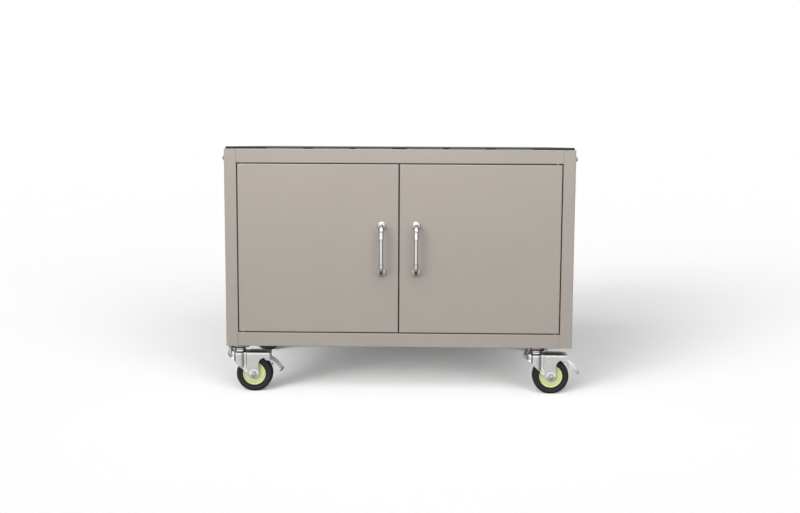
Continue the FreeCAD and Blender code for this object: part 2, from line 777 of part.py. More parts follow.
posts()
cross_rails()
side_rails()
panels()
shelf()
top_parts()
door_hardware()
doors()
cap_nuts()
caster_sets()

for name, shape in pieces.items():
    shape.exportStep("parts/" + name + ".step")
print(len(pieces), "pieces")
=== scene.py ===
import bpy
import bmesh
import json
import math
from mathutils import Matrix, Vector

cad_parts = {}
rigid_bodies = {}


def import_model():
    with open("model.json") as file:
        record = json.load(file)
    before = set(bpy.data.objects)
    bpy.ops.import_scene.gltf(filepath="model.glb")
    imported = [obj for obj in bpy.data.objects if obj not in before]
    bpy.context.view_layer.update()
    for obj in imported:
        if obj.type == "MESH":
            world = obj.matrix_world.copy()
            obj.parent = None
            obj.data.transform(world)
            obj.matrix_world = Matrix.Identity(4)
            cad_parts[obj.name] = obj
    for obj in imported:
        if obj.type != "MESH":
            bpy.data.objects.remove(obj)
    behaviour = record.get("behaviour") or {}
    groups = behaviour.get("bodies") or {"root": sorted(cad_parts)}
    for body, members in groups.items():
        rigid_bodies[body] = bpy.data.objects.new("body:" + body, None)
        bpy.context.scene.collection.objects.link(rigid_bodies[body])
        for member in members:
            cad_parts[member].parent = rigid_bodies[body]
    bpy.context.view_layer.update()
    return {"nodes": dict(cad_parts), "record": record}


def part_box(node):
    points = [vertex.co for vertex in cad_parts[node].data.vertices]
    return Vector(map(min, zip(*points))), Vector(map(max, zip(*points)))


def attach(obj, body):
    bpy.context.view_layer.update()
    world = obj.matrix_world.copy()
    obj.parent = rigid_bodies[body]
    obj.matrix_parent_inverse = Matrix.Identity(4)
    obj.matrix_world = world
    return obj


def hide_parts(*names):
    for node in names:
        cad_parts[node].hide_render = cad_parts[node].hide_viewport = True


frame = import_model()
cadNodes = frame["nodes"]
mm = 0.001  # Blender works in metres
print("frame loaded,", len(cadNodes), "nodes")


def toLinear(hexColour):  # sRGB hex to the linear colour that the shader wants
    values = []
    for i in (0, 2, 4):
        c = int(hexColour[i:i + 2], 16) / 255
        values.append(c / 12.92 if c <= 0.04045 else ((c + 0.055) / 1.055) ** 2.4)
    return (*values, 1.0)


# a socket is given by its name, or by its number where names repeat: a Mix node takes colours in at 6 and 7
# and gives one out at 2
def addNode(tree, kind, settings=None, inputs=None, links=None):
    node = tree.nodes.new(kind)
    for name, value in (settings or {}).items():
        setattr(node, name, value)
    for name, value in (inputs or {}).items():
        node.inputs[name].default_value = value
    for name, (source, output) in (links or {}).items():
        tree.links.new(source.outputs[output], node.inputs[name])
    return node


def startMaterial(name):
    material = bpy.data.materials.new(name)
    material.use_nodes = True
    tree = material.node_tree
    tree.nodes.clear()
    return material, tree


def perMm(sizeInMm):  # a texture scale whose pattern repeats about once in that many millimetres
    return 1000.0 / sizeInMm


def dress(material, *names):
    for name in names:
        cad = cadNodes[name]
        cad.data.materials.clear()
        cad.data.materials.append(material)


def powderCoat(name, look):  # a pigment baked on: the colour lies under a clear gloss
    material, tree = startMaterial(name)
    place = addNode(tree, "ShaderNodeTexCoord")
    drift = addNode(tree, "ShaderNodeTexNoise", inputs={"Scale": perMm(look["driftMm"]), "Detail": 2.0},
                    links={"Vector": (place, "Object")})
    tint = addNode(tree, "ShaderNodeMix", {"data_type": "RGBA"},
                   inputs={6: toLinear(look["dark"]), 7: toLinear(look["light"])}, links={0: (drift, "Fac")})
    # the real orange peel is about 0.8 mm across. It is drawn three times as coarse so that it shows
    peel = addNode(tree, "ShaderNodeTexNoise",
                   inputs={"Scale": perMm(look["peelMm"]), "Detail": 3.0, "Roughness": 0.55},
                   links={"Vector": (place, "Object")})
    relief = addNode(tree, "ShaderNodeBump", inputs={"Strength": look["peelStrength"], "Distance": 0.2 * mm},
                     links={"Height": (peel, "Fac")})
    gloss = addNode(tree, "ShaderNodeMapRange", inputs={"To Min": look["roughness"] - look["roughSpread"],
                                                        "To Max": look["roughness"] + look["roughSpread"]},
                    links={"Value": (peel, "Fac")})
    shader = addNode(tree, "ShaderNodeBsdfPrincipled", inputs={"IOR": look["ior"], "Metallic": 0.0},
                     links={"Base Color": (tint, 2), "Roughness": (gloss, "Result"),
                            "Normal": (relief, "Normal")})
    addNode(tree, "ShaderNodeOutputMaterial", links={"Surface": (shader, "BSDF")})
    return material


def metal(name, look):  # bare or plated: the colour is in the reflection, which grain and blotches break up
    material, tree = startMaterial(name)
    place = addNode(tree, "ShaderNodeTexCoord")
    stretch = addNode(tree, "ShaderNodeMapping", {"vector_type": "POINT"}, inputs={"Scale": look["stretch"]},
                      links={"Vector": (place, "Object")})
    # a real brush line or plating grain is under 0.1 mm. It is drawn several times as coarse so that it shows
    grain = addNode(tree, "ShaderNodeTexNoise",
                    inputs={"Scale": perMm(look["grainMm"]), "Detail": 4.0, "Roughness": 0.6},
                    links={"Vector": (stretch, "Vector")})
    blotch = addNode(tree, "ShaderNodeTexNoise", inputs={"Scale": perMm(look["blotchMm"]), "Detail": 2.0},
                     links={"Vector": (place, "Object")})
    tint = addNode(tree, "ShaderNodeMix", {"data_type": "RGBA"},
                   inputs={6: toLinear(look["dark"]), 7: toLinear(look["light"])}, links={0: (blotch, "Fac")})
    gloss = addNode(tree, "ShaderNodeMapRange", inputs={"To Min": look["roughness"] - look["roughSpread"],
                                                        "To Max": look["roughness"] + look["roughSpread"]},
                    links={"Value": (grain, "Fac")})
    relief = addNode(tree, "ShaderNodeBump", inputs={"Strength": look["grainStrength"], "Distance": 0.1 * mm},
                     links={"Height": (grain, "Fac")})
    shader = addNode(tree, "ShaderNodeBsdfPrincipled",
                     inputs={"Metallic": look.get("metallic", 1.0), "Specular Tint": toLinear(look["edge"])},
                     links={"Base Color": (tint, 2), "Roughness": (gloss, "Result"),
                            "Normal": (relief, "Normal")})
    addNode(tree, "ShaderNodeOutputMaterial", links={"Surface": (shader, "BSDF")})
    return material


def moulded(name, look):  # plastic or rubber: its colour goes right through
    material, tree = startMaterial(name)
    place = addNode(tree, "ShaderNodeTexCoord")
    cloud = addNode(tree, "ShaderNodeTexNoise", inputs={"Scale": perMm(look["cloudMm"]), "Detail": 3.0},
                    links={"Vector": (place, "Object")})
    tint = addNode(tree, "ShaderNodeMix", {"data_type": "RGBA"},
                   inputs={6: toLinear(look["dark"]), 7: toLinear(look["light"])}, links={0: (cloud, "Fac")})
    # a real mould is eroded to a grain of about 0.1 mm. It is drawn several times as coarse so that it shows
    grain = addNode(tree, "ShaderNodeTexNoise", inputs={"Scale": perMm(look["grainMm"]), "Detail": 2.0},
                    links={"Vector": (place, "Object")})
    relief = addNode(tree, "ShaderNodeBump", inputs={"Strength": look["grainStrength"], "Distance": 0.1 * mm},
                     links={"Height": (grain, "Fac")})
    gloss = addNode(tree, "ShaderNodeMapRange", inputs={"To Min": look["roughness"] - look["roughSpread"],
                                                        "To Max": look["roughness"] + look["roughSpread"]},
                    links={"Value": (cloud, "Fac")})
    shader = addNode(tree, "ShaderNodeBsdfPrincipled", inputs={"IOR": look["ior"], "Metallic": 0.0},
                     links={"Base Color": (tint, 2), "Roughness": (gloss, "Result"),
                            "Normal": (relief, "Normal")})
    addNode(tree, "ShaderNodeOutputMaterial", links={"Surface": (shader, "BSDF")})
    return material


# polyester powder baked on steel: an even satin colour, and a faint orange peel that softens every reflection
taupeCoat = powderCoat("taupe polyester, powder coated on steel", {
    "dark": "605B56", "light": "645F5A", "driftMm": 220.0, "peelMm": 2.4, "peelStrength": 0.12,
    "roughness": 0.42, "roughSpread": 0.03, "ior": 1.5})
# the same in black on the top plate: hardly any colour, so its gloss alone shows the surface
blackCoat = powderCoat("black polyester, powder coated on steel", {
    "dark": "131313", "light": "191919", "driftMm": 160.0, "peelMm": 2.4, "peelStrength": 0.10,
    "roughness": 0.36, "roughSpread": 0.03, "ior": 1.5})
# cast and polished: a bright core between dark edges; the dark grey-blue edge tint is painted shade that
# darkens the grazing reflection
elbowSteel = metal("stainless steel, cast and polished", {
    "dark": "B6B6B7", "light": "BEBEBF", "stretch": (1.0, 1.0, 1.0), "grainMm": 0.8, "blotchMm": 14.0,
    "grainStrength": 0.04, "roughness": 0.15, "roughSpread": 0.03, "edge": "60656C"})
# brushed along the bar and buffed: the highlight runs the whole length and its edges are soft; the dark
# grey-blue edge tint is painted shade that darkens the grazing reflection at the bar's edges
handleSteel = metal("stainless steel, brushed and buffed", {
    "dark": "A8A9AA", "light": "B2B3B4", "stretch": (1.0, 1.0, 0.04), "grainMm": 0.35, "blotchMm": 25.0,
    "grainStrength": 0.10, "roughness": 0.20, "roughSpread": 0.05, "edge": "70757C"})
# spun to a dome and satined: one broad pale highlight
roseSteel = metal("stainless steel, spun and satined", {
    "dark": "A5A29F", "light": "B0ADAA", "stretch": (1.0, 1.0, 1.0), "grainMm": 0.5, "blotchMm": 10.0,
    "grainStrength": 0.12, "roughness": 0.36, "roughSpread": 0.05, "edge": "C8C8C8"})
# a paler, half-diffuse steel on the roses' necks: painted light where the neck would mirror dark; nearly
# white, with no mirror image in it
neckPaintedLightSteel = metal("stainless steel, paler for painted light", {
    "dark": "DAD6D2", "light": "E4E0DC", "stretch": (1.0, 1.0, 1.0), "grainMm": 0.5, "blotchMm": 10.0,
    "grainStrength": 0.10, "roughness": 0.55, "roughSpread": 0.05, "edge": "E0E0E0", "metallic": 0.45})
# pressed sheet under bright zinc: pale grey, with faint clouds where the bath ran off
zincPlate = metal("pressed steel, bright zinc plated", {
    "dark": "B3B2B1", "light": "C3C3C2", "stretch": (1.0, 1.0, 1.0), "grainMm": 1.6, "blotchMm": 9.0,
    "grainStrength": 0.08, "roughness": 0.24, "roughSpread": 0.07, "edge": "C0C0C0"})
# turned bolts and pins: darker than the sheet, with crisper edges
zincHardware = metal("turned steel, zinc plated", {
    "dark": "A5A4A3", "light": "B5B4B3", "stretch": (1.0, 1.0, 1.0), "grainMm": 0.8, "blotchMm": 6.0,
    "grainStrength": 0.10, "roughness": 0.22, "roughSpread": 0.05, "edge": "C0C0C0"})
# plates, studs, pins and cap nuts in a darker, duller zinc: painted shade, since they sit in shadow or mirror
# dark surroundings, so they stay dark against the sheet
zincPaintedShade = metal("pressed steel, zinc plated, darkened for painted shade", {
    "dark": "817E7B", "light": "918E8B", "stretch": (1.0, 1.0, 1.0), "grainMm": 1.2, "blotchMm": 12.0,
    "grainStrength": 0.10, "roughness": 0.30, "roughSpread": 0.06, "edge": "808080"})
# a paler, half-diffuse zinc: painted light in the recess behind the lip, on the lip's inner side and on the
# pedal's tread, which would otherwise mirror black; it is also rougher, so it spreads the light
zincSatinPaintedLight = metal("pressed steel, zinc plated, satin, paler for painted light", {
    "dark": "D6D5D4", "light": "E4E3E2", "stretch": (1.0, 1.0, 1.0), "grainMm": 1.0, "blotchMm": 12.0,
    "grainStrength": 0.08, "roughness": 0.55, "roughSpread": 0.05, "edge": "D8D8D8", "metallic": 0.6})
# coloured right through and moulded: a flat lime with a slight shine
limePlastic = moulded("polypropylene, moulded lime", {
    "dark": "828B5E", "light": "8A9366", "cloudMm": 30.0, "grainMm": 0.9, "grainStrength": 0.10,
    "roughness": 0.40, "roughSpread": 0.05, "ior": 1.49})
# the rim's paler colour is a painted highlight, for the light that the raised, rounded rim catches; it is
# also glossier, a thin ring round the disc
limeRimPaintedHighlight = moulded("polypropylene, moulded lime, painted highlight on the rim", {
    "dark": "9DA572", "light": "A5AD7A", "cloudMm": 30.0, "grainMm": 0.9, "grainStrength": 0.05,
    "roughness": 0.28, "roughSpread": 0.05, "ior": 1.49})
# rubber moulded dull: nearly black, with a grey bloom at its edges
tyreRubber = moulded("thermoplastic rubber, moulded black", {
    "dark": "050505", "light": "090909", "cloudMm": 14.0, "grainMm": 0.8, "grainStrength": 0.25,
    "roughness": 0.65, "roughSpread": 0.05, "ior": 1.42})
# a near-black strip in the gap under the top plate: painted shade, standing in for the shadow in that gap, so
# it reads as a black line
gapShadeStrip = moulded("near-black strip, painted shade in the gap", {
    "dark": "060606", "light": "0A0A0A", "cloudMm": 20.0, "grainMm": 1.0, "grainStrength": 0.3,
    "roughness": 0.8, "roughSpread": 0.05, "ior": 1.5})
# solid rubber, extruded: a shade paler than the near-black strip beside it
padRubber = moulded("EPDM rubber, extruded black", {
    "dark": "262626", "light": "303030", "cloudMm": 20.0, "grainMm": 0.8, "grainStrength": 0.15,
    "roughness": 0.5, "roughSpread": 0.05, "ior": 1.52})
# acetal from a polished mould: black with a clean low shine
blackPlastic = moulded("acetal, moulded black", {
    "dark": "161616", "light": "1E1E1E", "cloudMm": 20.0, "grainMm": 0.6, "grainStrength": 0.1,
    "roughness": 0.4, "roughSpread": 0.05, "ior": 1.48})

finishes = {
    "tyre": tyreRubber, "lime_plastic": limePlastic, "black_rubber": padRubber, "black_enamel": blackCoat,
    "black_plastic": blackPlastic, "brushed_steel": handleSteel, "zinc_plated_steel": zincPlate,
    "taupe_powder_coat": taupeCoat,
}
for part in frame["record"]["subparts"]:
    dress(finishes[part["material_slot"]], part["node"])
dress(zincHardware, "kingpins")
# painted shade: the cap nuts, the studs and the door pivot pins in the door gaps get the darker zinc
dress(zincPaintedShade, "side_cap_nuts", "caster_studs", "door_pivot_pins")
print("materials done")


# from here on every size is in millimetres, as on a drawing, and newPiece turns it into metres
def newPiece(name, shape, material, body, replaced=(), crease=38.0):
    points, faces = shape
    mesh = bpy.data.meshes.new(name)
    mesh.from_pydata([(x * mm, y * mm, z * mm) for x, y, z in points], [], faces)
    work = bmesh.new()
    work.from_mesh(mesh)
    bmesh.ops.remove_doubles(work, verts=work.verts, dist=1e-6)
    bmesh.ops.dissolve_degenerate(work, edges=work.edges, dist=1e-6)
    bmesh.ops.recalc_face_normals(work, faces=work.faces)
    work.to_mesh(mesh)
    work.free()
    mesh.shade_smooth()
    mesh.set_sharp_from_angle(angle=math.radians(crease))
    mesh.materials.append(material)
    piece = bpy.data.objects.new(name, mesh)
    bpy.context.scene.collection.objects.link(piece)
    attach(piece, body)
    if replaced:
        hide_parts(*replaced)
    return piece


def dressSome(piece, material, wanted):  # a second finish, on the faces that pass a test
    piece.data.materials.append(material)
    for face in piece.data.polygons:
        if wanted(face):
            face.material_index = 1


def lathe(profile, steps, along="z", centre=(0.0, 0.0, 0.0), start=0.0, sweep=360.0):
    # turns a list of (radius, distance along the axis) about the axis
    points, faces = [], []
    turns = steps if sweep >= 360.0 else steps + 1
    for i in range(turns):
        turn = math.radians(start + sweep * i / steps)
        for radius, height in profile:
            u, v = radius * math.cos(turn), radius * math.sin(turn)
            spot = (u, v, height) if along == "z" else (u, height, v)
            points.append(tuple(c + s for c, s in zip(centre, spot)))
    rows = len(profile)
    for i in range(steps):
        j = (i + 1) % turns
        for k in range(rows - 1):
            faces.append((i * rows + k, j * rows + k, j * rows + k + 1, i * rows + k + 1))
    return points, faces


def join(*shapes):
    points, faces = [], []
    for somePoints, someFaces in shapes:
        base = len(points)
        points += somePoints
        faces += [tuple(base + i for i in face) for face in someFaces]
    return points, faces


def stitch(rings, count):  # faces between closed rings of points that follow each other
    faces = []
    for k in range(rings - 1):
        for i in range(count):
            j = (i + 1) % count
            faces.append((k * count + i, (k + 1) * count + i, (k + 1) * count + j, k * count + j))
    return faces


def capEnds(rings, count):  # the first and the last of those rings, closed
    return [tuple(range(count)), tuple((rings - 1) * count + k for k in reversed(range(count)))]


def bend(centre, reach, start, end, steps):  # a rounded corner of a profile
    across, along = reach
    return [(centre[0] + across * math.cos(math.radians(start + (end - start) * i / steps)),
             centre[1] + along * math.sin(math.radians(start + (end - start) * i / steps)))
            for i in range(steps + 1)]


def smooth(start, end, value):
    share = min(1.0, max(0.0, (value - start) / (end - start)))
    return share * share * (3 - 2 * share)


def places(shape, x, y, way):  # a caster part, put under the cart and trailing to the right or the left
    points, faces = shape
    return [(x + way * px, y + way * py, pz) for px, py, pz in points], faces


# door handles: a bar between two elbows that stand on domed roses
handle = {"standoff": 36.0, "bendRadius": 18.0, "footRadius": 5.4, "elbowRadius": 6.35,
          "bendSteps": 16, "around": 40, "flangeHigh": 437.4, "flangeLow": 368.2,
          "barRadius": 5.15, "neckRadius": 4.5, "into": 1.5, "chamfer": 0.3,
          # the elbow's end as (distance along the tube from the flange's middle, radius)
          "elbowEnd": ((-4.8, 6.35), (-4.7, 5.6), (-3.8, 5.6), (-3.7, 6.2), (-3.3, 6.5), (-0.8, 6.5),
                       (-0.7, 6.9), (-0.4, 7.3), (0.4, 7.3), (0.7, 6.9), (0.8, 6.0), (0.8, 3.5))}


def elbowShape(x, doorFace, stud, flange):  # rings from the rose outwards, round the bend and to the collar
    way = 1 if flange < stud else -1
    reach = abs(stud - flange)
    foot = handle["standoff"] - handle["bendRadius"]
    rings = [(0.0, stud, 0.0, handle["footRadius"])]
    for i in range(handle["bendSteps"] + 1):
        share = i / handle["bendSteps"]
        turn = math.radians(90 * share)
        radius = handle["footRadius"] + (handle["elbowRadius"] - handle["footRadius"]) * smooth(0, 1, share)
        rings.append((foot + handle["bendRadius"] * math.sin(turn),
                      stud - way * handle["bendRadius"] * (1 - math.cos(turn)), way * turn, radius))
    for along, radius in handle["elbowEnd"]:
        rings.append((handle["standoff"], stud - way * (reach + along), way * math.pi / 2, radius))
    points, around = [], handle["around"]
    for out, height, run, radius in rings:
        for i in range(around):
            a = 2 * math.pi * i / around
            lift = radius * math.cos(a)
            points.append((x + radius * math.sin(a), doorFace - out - lift * math.sin(run),
                           height + lift * math.cos(run)))
    return points, stitch(len(rings), around)


def barShape(x, doorFace):
    low, high, into = handle["flangeLow"], handle["flangeHigh"], handle["into"]
    neck, radius, slim = handle["neckRadius"], handle["barRadius"], handle["barRadius"] - handle["chamfer"]
    profile = [(0.0, low - into), (neck, low - into), (neck, low + 1.6), (slim, low + 1.8),
               (radius, low + 2.2), (radius, low + 2.7), (radius, high - 3.9), (radius, high - 3.4),
               (slim, high - 3.0), (neck, high - 2.8), (neck, high + into), (0.0, high + into)]
    return lathe(profile, handle["around"], centre=(x, doorFace - handle["standoff"], 0.0))


rose = {"radius": 12.0, "drawn": 11.6, "rim": 0.8, "inner": 7.4, "rise": 3.0, "steps": 10, "around": 56,
        # the neck round the elbow's foot as (radius, distance out from the door)
        "neck": ((6.9, 5.0), (6.6, 7.5), (6.4, 10.5), (6.2, 12.2), (5.9, 13.6), (5.5, 14.6),
                 (5.0, 15.2), (5.0, 0.0))}


def rosesShape(x, doorFace, studs):
    wide = rose["drawn"] - rose["inner"]
    dome = bend((rose["inner"], rose["rim"]), (wide, rose["rise"]), 0, 90, rose["steps"])
    outline = [(rose["drawn"], 0.0)] + [(r, -h) for r, h in dome] + [(r, -h) for r, h in rose["neck"]]
    return join(*[lathe(outline, rose["around"], "y", (x, doorFace, z)) for z in studs])


for side in ("left", "right"):
    door = "door_" + side
    lowest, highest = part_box(door + "_handle_rosettes")
    x = (lowest[0] + highest[0]) * 500
    doorFace = highest[1] * 1000
    high = highest[2] * 1000 - rose["radius"]
    low = lowest[2] * 1000 + rose["radius"]
    newPiece("handle_bar_" + side, barShape(x, doorFace), handleSteel, door,
             (door + "_handle_bar",))
    elbows = join(elbowShape(x, doorFace, high, handle["flangeHigh"]),
                  elbowShape(x, doorFace, low, handle["flangeLow"]))
    newPiece("handle_elbows_" + side, elbows, elbowSteel, door, (door + "_handle_elbows",))
    roses = newPiece("handle_roses_" + side, rosesShape(x, doorFace, (high, low)), roseSteel, door,
                     (door + "_handle_rosettes",))
    # painted light: the neck is paler and duller than the dome
    dressSome(roses, neckPaintedLightSteel, lambda face: doorFace - face.center.y * 1000 > rose["neck"][0][1])
print("handles done")


# casters. Each part is drawn about its swivel, with the wheel trailing along +X and the front side at -Y
caster = {"trail": 41.0, "wheelRadius": 50.0, "treadRadius": 49.98, "forkTop": 112.0}
fork = {"half": 23.0, "sheet": 1.6, "bend": 2.4, "noseRadius": 27.5, "noseSweep": 41.5, "noseSteps": 12,
        "noseEnd": (-20.0, -8.0), "paintedLightTo": -15.5, "columnRadius": 15.6, "columnX": -0.5, "columnY": -12.0,
        "columnSteps": 28, "valleyY": -19.2, "valleyLead": (1.6, 0.4), "cheekStart": 22.0,
        # how the valley climbs to the cheek, as (distance to the cheek's start, depth)
        "valleySide": ((-5.0, -19.4), (-2.5, -20.6), (-0.8, -22.3), (-0.3, -22.8)),
        "fadeStart": 3.0, "fadeEnd": 15.0, "slantX": -20.0, "slantZ": 94.5, "kneeX": -12.0, "kneeSlope": 0.8,
        "lobeRadius": 13.5, "bossTop": 8.0, "bossFoot": 12.5, "bossHeight": 1.5,
        "pivotX": 78.44, "pivotZ": 96.24, "earRadius": 7.0, "reliefRadius": 15.94,
        "pressHeight": 2.6, "pressStart": 24.0, "pressEnd": 80.0, "pressHalf": 17.0,
        "crownRows": (0.12, 0.24, 0.36, 0.5, 0.75, 1.0),
        # where the flat sheet is cut so that it can take its forms
        "alongCuts": [24.0 + 1.5 * i for i in range(21)] + [57.0, 60.0, 64.0, 68.0, 72.0, 76.0, 80.0, 84.0],
        "heightCuts": [37.5 + 1.6 * i for i in range(17)] + [65.5 + 1.1 * i for i in range(20)]
        + [89.5 + 3.0 * i for i in range(6)]}
# the slanted lower edge runs from (slantX, slantZ) down to where it touches the hub's lobe
reach, drop = caster["trail"] - fork["slantX"], fork["slantZ"] - caster["wheelRadius"]
fork["run"] = math.atan2(drop, reach) + math.asin(fork["lobeRadius"] / math.hypot(reach, drop))


def forkPlan():  # the front half seen from above: nose, valley, round column, valley, flat cheek
    plan = []
    for i in range(fork["noseSteps"] + 1):
        a = math.radians(180 + fork["noseSweep"] * i / fork["noseSteps"])
        plan.append((fork["noseRadius"] * math.cos(a), fork["noseRadius"] * math.sin(a)))
    limb = math.degrees(math.acos((fork["columnY"] - fork["valleyY"]) / fork["columnRadius"]))
    leadX, leadY = fork["valleyLead"]
    plan.append((fork["columnX"] - fork["columnRadius"] * math.sin(math.radians(limb)) - leadX,
                 fork["valleyY"] - leadY))
    for i in range(fork["columnSteps"] + 1):
        a = math.radians(-limb + 2 * limb * i / fork["columnSteps"])
        plan.append((fork["columnX"] + fork["columnRadius"] * math.sin(a),
                     fork["columnY"] - fork["columnRadius"] * math.cos(a)))
    start = fork["cheekStart"]
    plan += [(start + dx, y) for dx, y in fork["valleySide"]] + [(start + 0.4, -fork["half"])]
    return plan + [(x, -fork["half"]) for x in fork["alongCuts"]]


def forkLow(x):  # the height of the slanted edge
    slope = math.tan(fork["run"])
    if x < fork["kneeX"]:
        knee = fork["slantZ"] - slope * (fork["kneeX"] - fork["slantX"])
        return knee + fork["kneeSlope"] * (fork["kneeX"] - x)
    return fork["slantZ"] - slope * (x - fork["slantX"])


def forkShape():
    hubX, hubZ, lobe, run = caster["trail"], caster["wheelRadius"], fork["lobeRadius"], fork["run"]
    top = caster["forkTop"] - fork["bend"]
    plan = forkPlan()
    # the sheet laid flat: along is measured on the plan and equals x on the flat cheek
    along = [0.0]
    for (x0, y0), (x1, y1) in zip(plan, plan[1:]):
        along.append(along[-1] + math.hypot(x1 - x0, y1 - y0))
    flat = next(i for i, spot in enumerate(plan) if spot[0] > fork["cheekStart"] + 0.3)
    shift = plan[flat][0] - along[flat]
    along = [a + shift for a in along]
    touchX = hubX - lobe * math.sin(run)
    edge = [(a, forkLow(x)) for a, (x, y) in zip(along, plan) if x < touchX - 0.5]
    edge += [(hubX + lobe * math.cos(a), hubZ + lobe * math.sin(a)) for a in
             [1.5 * math.pi - run + (0.5 * math.pi + run) * i / 16 for i in range(17)]]
    reliefX = hubX + lobe + fork["reliefRadius"]
    reliefZ = fork["pivotZ"] - fork["reliefRadius"]
    edge += [(reliefX - fork["reliefRadius"] * math.cos(math.radians(9 * i)),
              reliefZ + fork["reliefRadius"] * math.sin(math.radians(9 * i))) for i in range(11)]
    edge += [(fork["pivotX"] - fork["earRadius"] * math.cos(math.radians(15 * i)),
              fork["pivotZ"] - fork["earRadius"] * math.sin(math.radians(15 * i))) for i in range(13)]
    tip = fork["pivotX"] + fork["earRadius"]
    edge += [(tip, top), (along[0], top)]
    work = bmesh.new()
    work.faces.new([work.verts.new((a, 0, z)) for a, z in edge])
    cuts = [((a, 0, 0), (1, 0, 0)) for a in along[1:] if a < tip - 0.2]
    cuts += [((0, 0, z), (0, 0, 1)) for z in fork["heightCuts"]]
    for spot, across in cuts:
        bmesh.ops.bisect_plane(work, geom=work.verts[:] + work.edges[:] + work.faces[:], dist=1e-4,
                               plane_co=spot, plane_no=across)
    work.verts.index_update()
    flatPoints = [tuple(v.co) for v in work.verts]
    faces = [tuple(v.index for v in face.verts) for face in work.faces]
    work.free()

    points = []
    for a, _, z in flatPoints:
        k = 0
        while k < len(along) - 2 and along[k + 1] < a - 1e-6:
            k += 1
        share = (a - along[k]) / (along[k + 1] - along[k])
        x = plan[k][0] + (plan[k + 1][0] - plan[k][0]) * share
        y = plan[k][1] + (plan[k + 1][1] - plan[k][1]) * share
        if x > 8.0 and y > -fork["half"]:  # the valley runs out above the slanted edge
            fade = smooth(fork["fadeStart"], fork["fadeEnd"], z - forkLow(x))
            y = -fork["half"] + (y + fork["half"]) * fade
        away = math.hypot(x - hubX, z - hubZ)
        if away < fork["bossFoot"]:  # the sheet is drawn out round the axle
            y -= fork["bossHeight"] * (1 - smooth(fork["bossTop"], fork["bossFoot"], away))
        points.append((x, y, z))

    rim = [i for i, p in enumerate(flatPoints) if abs(p[2] - top) < 1e-3]
    rim.sort(key=lambda i: flatPoints[i][0])
    rows = [rim]
    for k in range(1, 5):  # the rounded shoulder
        a = math.radians(22.5 * k)
        row = []
        for i in rim:
            x, y, z = points[i]
            wide = 1 - smooth(*fork["noseEnd"], x)
            length = math.hypot(x * wide, y) or 1.0
            inward = fork["bend"] * (1 - math.cos(a))
            points.append((x - inward * x * wide / length, y - inward * y / length if abs(y) > 1e-6 else 0.0,
                           top + fork["bend"] * math.sin(a)))
            row.append(len(points) - 1)
        rows.append(row)
    shoulder = rows[-1]
    for share in fork["crownRows"]:  # the crown, raised a little between the cheeks
        row = []
        for i in shoulder:
            x, y, z = points[i]
            y *= 1 - share
            lift = smooth(fork["pressStart"], fork["pressStart"] + 5, x)
            lift *= 1 - smooth(fork["pressEnd"] - 5, fork["pressEnd"], x)
            lift *= 1 - smooth(fork["pressHalf"] - 4, fork["pressHalf"], abs(y))
            points.append((x, y, caster["forkTop"] + fork["pressHeight"] * lift))
            row.append(len(points) - 1)
        rows.append(row)
    for row, after in zip(rows, rows[1:]):
        for i in range(len(row) - 1):
            faces.append((row[i], row[i + 1], after[i + 1], after[i]))
    far = ([(x, -y, z) for x, y, z in points], faces)
    return join((points, faces), far)


head = {"radius": 16.0, "top": 122.1, "steps": 56,
        "rivetHeight": 2.4, "rivets": ((38.0, 1.7), (53.0, 1.9), (61.0, 2.5))}  # (x, radius)


def headShape():  # the stepped turret under the plate, and the rivets in the crown
    r, low, top = head["radius"], caster["forkTop"], head["top"]
    turret = [(r + 1.6, low - 0.5)] + bend((r + 1.6, low + 1.2), (-1.4, 1.2), -90, 0, 3)
    turret += bend((r - 0.8, low + 4.2), (1.0, 1.0), 0, 60, 3) + [(r - 0.9, low + 5.2), (r - 0.9, low + 5.8)]
    turret += bend((r - 1.2, low + 6.6), (1.0, 0.8), -60, 0, 3)
    turret += bend((r - 1.8, top - 1.4), (1.6, 1.4), 0, 90, 4) + [(8.0, top)]
    shapes = [lathe(turret, head["steps"])]
    foot = low + fork["pressHeight"] - 0.2
    top = foot + head["rivetHeight"]
    for x, radius in head["rivets"]:
        rivet = [(radius, foot), (radius, top - 0.4), (radius - 0.5, top), (0.0, top)]
        shapes.append(lathe(rivet, 18, centre=(x, 0.0, 0.0)))
    return join(*shapes)


lip = {"radius": 34.4, "lean": 5.2, "foot": 98.0, "shoulder": 109.0, "top": 120.6, "sheet": 1.8, "steps": 30,
       # half its sweep at wideZ, and the degrees won or lost by each millimetre of height below and above it
       "wideZ": 106.0, "wideAngle": 51.0, "footSpread": 0.5, "topDraw": 1.5,
       "flangeLow": 106.6, "flangeHigh": 108.9, "flangeAngle": 34.0}


